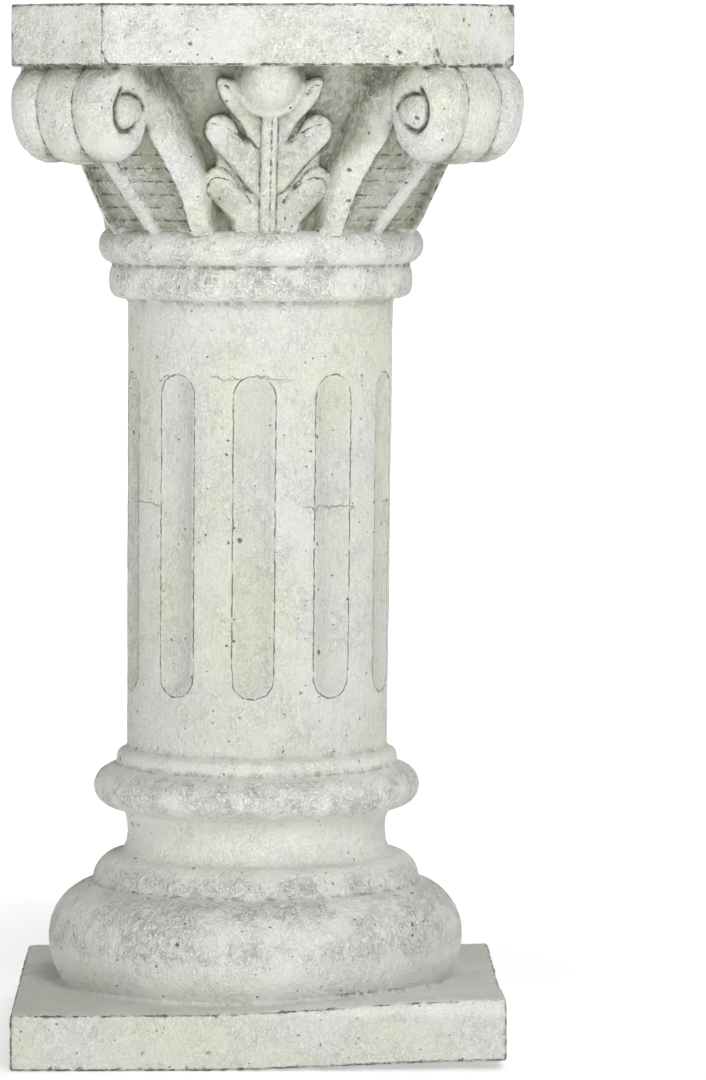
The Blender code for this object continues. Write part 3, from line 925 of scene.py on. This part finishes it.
def edgeAndFootShadowGap(points):
    capitalPoints = upright(points, lean["capitalTurn"])
    x, y = np.abs(capitalPoints[:, 0] - lean["abacusShift"]), np.abs(capitalPoints[:, 1])
    z = points[:, 2]
    cut = (2 * abacusHalf - abacusCant) * diagonal
    wall = np.minimum(abacusHalf - np.maximum(x, y), cut - (x + y) * diagonal)
    abacus = slabGap((wall, abacusTop - z, z - tops["capital"]))
    cutEdge = np.hypot(abacusHalf - np.maximum(x, y), cut - (x + y) * diagonal)
    abacus = np.where(z > tops["capital"] - 0.002, np.minimum(abacus, cutEdge), far)
    slab = warpPlinth(np.stack([points[:, 0], points[:, 1], np.full(len(points), tops["plinth"])], axis=-1))[:, 2]
    foot = warpPlinth(np.stack([points[:, 0], points[:, 1], np.zeros(len(points))], axis=-1))[:, 2]
    plinthEdgeAndFootShadowGap = slabGap((plinthHalf - np.abs(points[:, 0]), plinthHalf - np.abs(points[:, 1]), slab - z, z - foot))
    # Along the foot the line widens into a 1.4 mm band: painted contact shadow under the slab
    plinthEdgeAndFootShadowGap = np.minimum(plinthEdgeAndFootShadowGap, np.maximum(z - foot - 0.0014, 0))
    return np.minimum(abacus, np.where(z < tops["plinth"] + 0.008, plinthEdgeAndFootShadowGap, far))


def jointGap(points):
    rings = upright(points, 0)
    spot = np.stack([np.hypot(rings[:, 0], rings[:, 1]), rings[:, 2]], axis=-1)
    joint = shaftRadius + turning["upperTorusOut"] - turning["upperTorusSwell"]
    gap = np.full(len(points), far)
    for radius, height in (
        (collarRadius - turning["collarSwell"] + 0.0015, tops["neckRing"]),
        (shaftRadius + turning["spread"], tops["shaft"]),
        (shaftRadius + turning["filletOut"], tops["upperTorus"]), (joint, tops["scotia"]),
        (shaftRadius + turning["lowerRingOut"], tops["torus"]),
    ):
        gap = np.minimum(gap, np.hypot(spot[:, 0] - radius, spot[:, 1] - height))
    return gap


def carvedGap(points):
    upper = points[:, 2] > tops["collar"] - 0.001
    p = upright(points[upper], lean["capitalTurn"])
    free = p[:, 2] - tops["collar"]
    reach, across = folded(p)
    side = np.abs(across)
    gap = np.full(len(p), far)
    # stem: the ridge's foot, the panel's edge and the slats
    rows = np.array(smoothLine(stemRows))
    panelR, panelA = np.interp(free, rows[:, 0], rows[:, 1]), np.interp(free, rows[:, 0], rows[:, 2])
    ridge = stem["ridgeFoot"] + stem["ridgeLean"] * free
    below = free < scroll["level"] - 0.030 - tops["collar"]
    front = below & (reach > panelR - 0.012)
    ridgeLine = np.hypot(side - stem["ridgeHalf"] - 0.0010, reach - ridge + stem["ridgeDepth"])
    gap = np.where(front, np.minimum(gap, ridgeLine), gap)
    gap = np.where(front, np.minimum(gap, np.maximum(np.hypot(side - panelA, reach - panelR) - wornIn, 0)), gap)
    floor = front & (side > stem["ridgeHalf"] + 0.002) & (side < panelA - 0.001)
    for line in stem["slats"]:
        gap = np.where(floor, np.minimum(gap, np.abs(free - line)), gap)
    # scroll: the grooves round it and the spiral on its ends
    spot = np.stack([reach - scroll["centre"], p[:, 2] - scroll["level"]], axis=-1)
    tall = np.where(spot[:, 1] > 0, scroll["above"], scroll["below"])
    size = np.hypot(spot[:, 0] / scroll["outer"], spot[:, 1] / tall)
    onRoll = (size > 0.70) & (size < 1.25) & ((spot[:, 0] > -0.006) | (spot[:, 1] < -0.012))
    gap = np.where(onRoll, np.minimum(gap, np.abs(side - scroll["grooves"][0][0])), gap)
    onEnd = (side > 0.036) & (size < 1.1)
    for line in spiral["lines"][:2]:
        distance, _ = alongLine(spot[onEnd], smoothLine(line))
        gap[onEnd] = np.minimum(gap[onEnd], distance)
    behind = (side > 0.026) & (side < scroll["edge"] + 0.0010)
    distance, _ = alongLine(spot[behind], smoothLine(spiral["rim"]))
    gap[behind] = np.minimum(gap[behind], distance)
    # leaf: the lobes' outlines and folds and the lines beside the midrib
    angle = np.arctan2(p[:, 0], -p[:, 1])
    quarter = np.round(angle / (math.pi / 2))
    faceAcross = (angle - quarter * math.pi / 2) * np.hypot(p[:, 0], p[:, 1])
    lift = np.hypot(p[:, 0], p[:, 1]) - bellRadius(p[:, 2])
    onLeaf = (np.abs(faceAcross) < leaf["half"]) & (lift > 0.0008) & (lift < 0.030) & (free < 0.104)
    flat = np.stack([np.abs(faceAcross[onLeaf]), free[onLeaf]], axis=-1)
    near = np.full(len(flat), far)
    for lobe in lobes:
        near = np.minimum(near, alongLine(flat, smoothLine(lobe["fold"], 4))[0])
        near = np.minimum(near, alongLine(flat, smoothLine(lobe["outline"][1:-1], 4))[0])
    rib = faceAcross[onLeaf]
    low = flat[:, 1] < leaf["ribTop"]
    for line in leaf["ribLines"]:
        near = np.where(low, np.minimum(near, np.abs(rib - line)), near)
    gap[onLeaf] = np.minimum(gap[onLeaf], near)
    whole = np.full(len(points), far)
    whole[upper] = gap
    panel = np.zeros(len(points))
    panel[upper] = floor
    return whole, panel


def fluteGap(points):  # negative inside a flute
    p = upright(points, lean["fluteTurn"])
    radius = np.hypot(p[:, 0], p[:, 1])
    angle = np.arctan2(p[:, 0], -p[:, 1])
    pitch = math.tau / flute["count"]
    across = (angle - np.round(angle / pitch) * pitch) * radius
    half = flute["width"] / 2
    low = tops["fillet"] + flute["below"] + half
    high = tops["shaft"] - flute["above"] - half
    along = np.maximum(np.maximum(low - p[:, 2], p[:, 2] - high), 0)
    return np.clip(np.hypot(across, along) - half, -far, far)


keepMark(pedestal, "edge", edgeAndFootShadowGap(points))
keepMark(pedestal, "joint", jointGap(points))
carvedMark, panelMark = carvedGap(points)
keepMark(pedestal, "carved", carvedMark)
# The painted shade is scaled by height: weak over the base, less on the rings, strongest on the capital; the recessed
# stem panels get more
paintedShade = paintedShade * np.interp(points[:, 2], *zip(*shade["paintedShadeByHeight"]))
keepMark(pedestal, "paintedRecessShade", paintedShade + shade["panel"] * averaged(panelMark, finalLinks, 2)[:, 0])
keepMark(pedestal, "flute", fluteGap(points))

# Where the surface is hammered: the rings and the upper half of the big torus
hammered = {
    "collar": (0.024, 0.0), "neckRing": (0.024, 0.0), "upperTorus": (0.026, -0.002), "lowerRing": (0.018, -0.006),
    "torus": (0.040, -0.002),
}
heights = points[:, 2]
rough = np.zeros(len(points))
for course, (below, above) in hammered.items():
    low, high = tops[course] - below, tops[course] + above
    band = smoothStep(low - 0.004, low + 0.004, heights) * smoothStep(high + 0.003, high - 0.003, heights)
    rough = np.maximum(rough, band)
rough = np.maximum(rough, 0.35 * smoothStep(tops["collar"], tops["collar"] + 0.006, heights))
keepMark(pedestal, "rough", rough)
print("marks kept")


# Finish: whitewashed cast stone

stone = {
    "cream": (0.640, 0.668, 0.560), "lilac": (0.668, 0.668, 0.650), "green": (0.235, 0.262, 0.180),
    "ink": (0.045, 0.050, 0.035), "pale": (0.800, 0.815, 0.760),
    "lineHalf": 0.0005, "edgeHalf": 0.00035, "jointHalf": 0.0007, "fluteHalf": 0.0004, "wander": 0.0022,
    "cracks": ((0.3720, 0.47, 0.50), (0.4585, 0.56, 0.50)), "jag": 0.016,
    # Painted light: the heights over which the base is made paler, and how much paler the base and the hammered rings
    # get
    "baseTop": (0.215, 0.185), "plinthTop": (0.034, 0.040), "basePaintedLight": 0.80, "ringPaintedLight": 0.40,
}
# Noises: scale, detail and roughness
grains = {
    "broad": (9.0, 4.0, 0.60), "streaky": (30.0, 5.0, 0.62), "fine": (420.0, 4.0, 0.70),
    "breakUp": (150.0, 3.0, 0.65), "wander": (130.0, 3.0, 0.70), "jagged": (60.0, 3.0, 0.65),
    "cracks": (19.0, 2.0, 0.50), "crowd": (17.0, 3.0, 0.60), "patchy": (30.0, 3.0, 0.60),
    "streaks": (480.0, 3.0, 0.60), "lumps": (120.0, 2.0, 0.55),
}
# How much each thing stands out in the relief
relief = {"distance": 0.0016, "crumbs": 1.0, "streaks": 0.48, "grit": 0.16, "lumps": 0.85, "ink": 0.80}


class NodeBench:  # adds nodes and links to one tree
    def __init__(self, tree):
        self.tree = tree

    def add(self, kind, **settings):
        node = self.tree.nodes.new(kind)
        for name, value in settings.items():
            setattr(node, name, value)
        return node

    def link(self, source, target):
        self.tree.links.new(source, target)

    def put(self, socket, item):  # a link from another node, or a plain value
        if isinstance(item, bpy.types.NodeSocket):
            self.link(item, socket)
        else:
            socket.default_value = (*item, 1.0) if socket.type == "RGBA" else item

    def feed(self, node, **values):
        for name, value in values.items():
            self.put(node.inputs[name], value)
        return node

    def math(self, operation, first, second=0.0):
        node = self.add("ShaderNodeMath", operation=operation)
        for socket, value in zip(node.inputs, (first, second)):
            self.put(socket, value)
        return node.outputs[0]

    def ramp(self, value, low, high, start=0.0, end=1.0):  # smooth step from low to high
        node = self.add("ShaderNodeMapRange", interpolation_type="SMOOTHSTEP")
        for socket, item in zip(node.inputs, (value, low, high, start, end)):
            self.put(socket, item)
        return node.outputs[0]

    def noise(self, vector, scale, detail, roughness):
        node = self.add("ShaderNodeTexNoise")
        return self.feed(node, Vector=vector, Scale=scale, Detail=detail, Roughness=roughness).outputs["Fac"]

    def mix(self, factor, first, second):
        node = self.add("ShaderNodeMix", data_type="RGBA")
        for index, item in ((0, factor), (6, first), (7, second)):
            self.put(node.inputs[index], item)
        return node.outputs[2]

    def stretch(self, vector, scale, move=(0, 0, 0)):
        return self.feed(self.add("ShaderNodeMapping"), Vector=vector, Location=move, Scale=scale).outputs["Vector"]


def newGroup(name, inputs, outputs):
    tree = bpy.data.node_groups.new(name, "ShaderNodeTree")
    for label, kind, value in inputs:
        socket = tree.interface.new_socket(label, in_out="INPUT", socket_type=kind)
        if value is not None:
            socket.default_value = value
    for label, kind in outputs:
        tree.interface.new_socket(label, in_out="OUTPUT", socket_type=kind)
    bench = NodeBench(tree)
    return tree, bench, bench.add("NodeGroupInput"), bench.add("NodeGroupOutput")


def pitGroup():  # scattered round pits: a mask
    tree, bench, given, result = newGroup(
        "pits",
        [("Vector", "NodeSocketVector", None), ("Scale", "NodeSocketFloat", 90.0),
         ("Amount", "NodeSocketFloat", 0.2)],
        [("Mask", "NodeSocketFloat")],
    )
    vector = given.outputs["Vector"]
    wobble = bench.feed(bench.add("ShaderNodeTexNoise"), Vector=vector, Scale=260.0)
    shaken = bench.add("ShaderNodeVectorMath", operation="MULTIPLY_ADD")
    for socket, item in zip(shaken.inputs, (wobble.outputs["Color"], (0.004, 0.004, 0.004), vector)):
        bench.put(socket, item)
    cells = bench.add("ShaderNodeTexVoronoi", feature="F1")
    bench.feed(cells, Vector=shaken.outputs[0], Scale=given.outputs["Scale"])
    split = bench.add("ShaderNodeSeparateColor")
    bench.link(cells.outputs["Color"], split.inputs[0])
    chosen = bench.math("LESS_THAN", split.outputs[0], given.outputs["Amount"])
    size = bench.math("ADD", bench.math("MULTIPLY", split.outputs[1], 0.16), 0.07)
    mask = bench.ramp(cells.outputs["Distance"], size, bench.math("MULTIPLY", size, 0.45))
    bench.link(bench.math("MULTIPLY", mask, chosen), result.inputs["Mask"])
    return tree


def crumbGroup():  # hammered, crumbling plaster: a height from 0 to 1 with steep sides
    tree, bench, given, result = newGroup(
        "crumb",
        [("Vector", "NodeSocketVector", None), ("Scale", "NodeSocketFloat", 260.0), ("Low", "NodeSocketFloat", 0.44),
         ("High", "NodeSocketFloat", 0.58)],
        [("Height", "NodeSocketFloat")],
    )
    grain = bench.add("ShaderNodeTexNoise")
    bench.feed(grain, Vector=given.outputs["Vector"], Scale=given.outputs["Scale"])
    bench.feed(grain, Detail=2.0, Roughness=0.6, Distortion=0.6)
    step = bench.ramp(grain.outputs["Fac"], given.outputs["Low"], given.outputs["High"])
    bench.link(step, result.inputs["Height"])
    return tree


pits = pitGroup()
crumb = crumbGroup()


def useGroup(bench, tree, **values):
    node = bench.add("ShaderNodeGroup")
    node.node_tree = tree
    bench.feed(node, **values)
    return node


def hairGroup():  # thin lines at one value of a wandering distance: a mask
    tree, bench, given, result = newGroup(
        "hairline",
        [("Distance", "NodeSocketFloat", 0.0), ("Half", "NodeSocketFloat", 0.0007),
         ("Wander", "NodeSocketFloat", 0.0), ("Breaks", "NodeSocketFloat", 0.0)],
        [("Mask", "NodeSocketFloat")],
    )
    away = bench.math("ABSOLUTE", bench.math("ADD", given.outputs["Distance"], given.outputs["Wander"]))
    inner = bench.math("MULTIPLY", given.outputs["Half"], 0.35)
    outer = bench.math("MULTIPLY", given.outputs["Half"], 1.5)
    line = bench.ramp(away, outer, inner)
    bench.link(bench.math("MULTIPLY", line, given.outputs["Breaks"]), result.inputs["Mask"])
    return tree


hairline = hairGroup()


def castStone():
    material = bpy.data.materials.new("castStone")
    material.use_nodes = True
    bench = NodeBench(material.node_tree)
    shader = material.node_tree.nodes["Principled BSDF"]
    place = bench.add("ShaderNodeTexCoord").outputs["Object"]
    split = bench.add("ShaderNodeSeparateXYZ")
    bench.link(place, split.inputs[0])
    level = split.outputs[2]

    def mark(name):
        return bench.add("ShaderNodeAttribute", attribute_name=name).outputs["Fac"]

    def grain(name, vector=place):
        return bench.noise(vector, *grains[name])

    def times(first, second):
        return bench.math("MULTIPLY", first, second)

    def plus(first, second):
        return bench.math("ADD", first, second)

    def most(first, second):
        return bench.math("MAXIMUM", first, second)

    def shaken(name, reach):  # a noise around 0, to shake a line
        return times(bench.math("SUBTRACT", grain(name), 0.5), reach)

    def line(distance, half, wander, breaks):
        return useGroup(bench, hairline, Distance=distance, Half=half, Wander=wander, Breaks=breaks).outputs["Mask"]

    crease, rim, hollow, paintedRecessShade, roughMark = (mark(name) for name in ("crease", "rim", "hollow", "paintedRecessShade", "rough"))
    edge, joint, carved, fluted = (mark(name) for name in ("edge", "joint", "carved", "flute"))
    streaky = grain("streaky", bench.stretch(place, (1, 1, 0.25)))
    breakUp = grain("breakUp")
    wander = shaken("wander", stone["wander"])

    # Whitewash: cream and lilac grey in patches, with green-grey painted shade in recesses and under the abacus
    blend = plus(times(grain("broad"), 0.6), times(streaky, 0.4))
    colour = bench.mix(bench.ramp(blend, 0.44, 0.57), stone["cream"], stone["lilac"])
    colour = bench.mix(bench.ramp(grain("fine"), 0.48, 0.72, 0.0, 0.45), colour, stone["pale"])
    # Painted shade: greener and darker where the surface is hidden from the sky and in broad hollows
    recessShadeMix = bench.ramp(plus(paintedRecessShade, times(hollow, 0.25)), 0.08, 0.62, 0.0, 0.95)
    colour = bench.mix(recessShadeMix, colour, stone["green"])
    inFlute = bench.ramp(fluted, 0.0005, -0.0040, 0.0, 0.16)
    colour = bench.mix(inFlute, colour, stone["green"])
    # Painted light: the base courses above the plinth and the hammered rings are made paler, making up for the lamps'
    # falloff and the bumps' self-shadow
    onBase = bench.ramp(level, *stone["baseTop"], 0.0, stone["basePaintedLight"])
    onBase = times(onBase, bench.ramp(level, *stone["plinthTop"]))
    paintedLight = most(onBase, bench.ramp(roughMark, 0.1, 1.0, 0.0, stone["ringPaintedLight"]))
    colour = bench.mix(paintedLight, colour, stone["pale"])

    # Grey rubbed into creases, over edges and along the drawn lines; along the plinth's foot, a painted contact
    # shadow
    broken = bench.ramp(breakUp, 0.36, 0.58, 0.20, 1.0)
    rarely = bench.ramp(breakUp, 0.47, 0.60)
    ink = times(crease, times(broken, 0.75))
    for distance, half, breaks, strength in (
        (edge, stone["edgeHalf"], broken, 0.85), (joint, stone["jointHalf"], rarely, 0.75),
        (carved, stone["lineHalf"], broken, 0.85), (fluted, stone["fluteHalf"], broken, 0.80),
    ):
        ink = most(ink, times(line(distance, half, wander, breaks), strength))
    jagged = shaken("jagged", stone["jag"])
    for height, rareness, strength in stone["cracks"]:
        moved = bench.stretch(place, (1, 1, 1), (height, 0, 0))
        shown = bench.ramp(grain("cracks", moved), rareness, rareness + 0.08)
        crack = line(bench.math("SUBTRACT", level, height), stone["fluteHalf"], jagged, shown)
        ink = most(ink, times(crack, strength))
    sharpRim = times(bench.ramp(rim, 0.30, 0.75), bench.ramp(edge, 0.0040, 0.0022))
    ink = most(ink, times(sharpRim, times(broken, 0.80)))
    ink = most(ink, times(rim, times(rarely, 0.40)))

    # Pits, in crowds
    crowd = grain("crowd")
    smallAmount = bench.ramp(crowd, 0.38, 0.68, 0.05, 0.46)
    largeAmount = bench.ramp(crowd, 0.42, 0.70, 0.03, 0.22)
    small = useGroup(bench, pits, Vector=place, Scale=210.0, Amount=smallAmount).outputs["Mask"]
    large = useGroup(bench, pits, Vector=place, Scale=95.0, Amount=largeAmount).outputs["Mask"]
    ink = most(ink, times(most(small, large), 0.80))

    # Hammered crumb, strongest on the rings
    patchy = bench.ramp(grain("patchy"), 0.38, 0.60, 0.25, 1.0)
    roughness = times(bench.ramp(roughMark, 0.0, 1.0, 0.30, 1.0), patchy)
    flatter = bench.stretch(place, (1, 1, 0.65))
    coarse = useGroup(bench, crumb, Vector=flatter, Scale=230.0, Low=0.47, High=0.56).outputs["Height"]
    flatter = bench.stretch(place, (1, 1, 0.8))
    grit = useGroup(bench, crumb, Vector=flatter, Scale=720.0, Low=0.42, High=0.62).outputs["Height"]
    crumbs = plus(times(coarse, 0.65), times(grit, 0.35))
    valleys = times(bench.ramp(crumbs, 0.24, 0.04), times(roughness, rarely))
    ink = most(ink, times(valleys, 0.34))
    # Painted highlight on the crumb's crests
    paintedCrestHighlight = times(bench.ramp(crumbs, 0.30, 0.80), roughness)
    colour = bench.mix(times(paintedCrestHighlight, 0.75), colour, stone["pale"])
    colour = bench.mix(ink, colour, stone["ink"])
    bench.link(colour, shader.inputs["Base Color"])
    bench.link(bench.ramp(breakUp, 0.3, 0.7, 0.78, 0.94), shader.inputs["Roughness"])

    # Relief
    height = times(crumbs, times(roughness, relief["crumbs"]))
    height = plus(height, times(grain("streaks", bench.stretch(place, (1, 1, 0.08))), relief["streaks"]))
    height = plus(height, times(grit, relief["grit"]))
    height = plus(height, times(grain("lumps"), relief["lumps"]))
    height = bench.math("SUBTRACT", height, times(ink, relief["ink"]))
    bump = bench.feed(bench.add("ShaderNodeBump"), Strength=1.0, Distance=relief["distance"], Height=height)
    bench.link(bump.outputs["Normal"], shader.inputs["Normal"])
    return material


pedestal.data.materials.clear()
pedestal.data.materials.append(castStone())
choose(pedestal)
bpy.ops.object.shade_smooth_by_angle(angle=math.radians(50))
print("finish applied")

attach(pedestal, "root")
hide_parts("column_pedestal")


# Plain pale floor and soft studio light

studio = {
    "floorHalf": 14.0, "floor": (0.90, 0.90, 0.90), "sky": 0.33,
    "nearGlow": 0.40, "farGlow": 1.00, "nearReach": 0.30, "farReach": 1.6,
    "key": (0.9, -3.4, 2.5), "keyPower": 72, "keySize": 1.5,
    "fill": (-1.4, -3.6, 0.4), "fillPower": 27, "fillSize": 2.0,
    "top": (1.6, 0.9, 2.8), "topPower": 16, "topSize": 1.4,
}


def addFloor():
    bpy.ops.object.select_all(action="DESELECT")
    bpy.ops.mesh.primitive_plane_add(size=2 * studio["floorHalf"], location=(0, 0, 0))
    floor = bpy.context.object
    floor.name = "floor"
    material = bpy.data.materials.new("paleFloor")
    material.use_nodes = True
    bench = NodeBench(material.node_tree)
    shader = material.node_tree.nodes["Principled BSDF"]
    shader.inputs["Base Color"].default_value = (*studio["floor"], 1)
    shader.inputs["Roughness"].default_value = 0.9
    shader.inputs["Emission Color"].default_value = (1, 1, 1, 1)
    place = bench.add("ShaderNodeTexCoord").outputs["Object"]
    away = bench.add("ShaderNodeVectorMath", operation="LENGTH")
    bench.link(place, away.inputs[0])
    reach = (studio["nearReach"], studio["farReach"])
    glow = bench.ramp(away.outputs["Value"], *reach, studio["nearGlow"], studio["farGlow"])
    bench.link(glow, shader.inputs["Emission Strength"])
    floor.data.materials.append(material)


def addLight(name):
    place = Vector(studio[name])
    bpy.ops.object.light_add(type="AREA", location=place)
    light = bpy.context.object
    light.name = name
    light.data.energy = studio[name + "Power"]
    light.data.size = studio[name + "Size"]
    light.rotation_euler = (place - Vector((0, 0, 0.35))).to_track_quat("Z", "Y").to_euler()


def addSky():
    world = bpy.data.worlds.new("studio")
    world.use_nodes = True
    bpy.context.scene.world = world
    bench = NodeBench(world.node_tree)
    backdrop = world.node_tree.nodes["Background"]
    backdrop.inputs["Color"].default_value = (1, 1, 1, 1)
    path = bench.add("ShaderNodeLightPath")
    bench.link(bench.ramp(path.outputs["Is Camera Ray"], 0.0, 1.0, studio["sky"], 1.05), backdrop.inputs["Strength"])


addFloor()
for name in ("key", "fill", "top"):
    addLight(name)
addSky()
bpy.context.scene.view_settings.view_transform = "Standard"
print("studio lit")
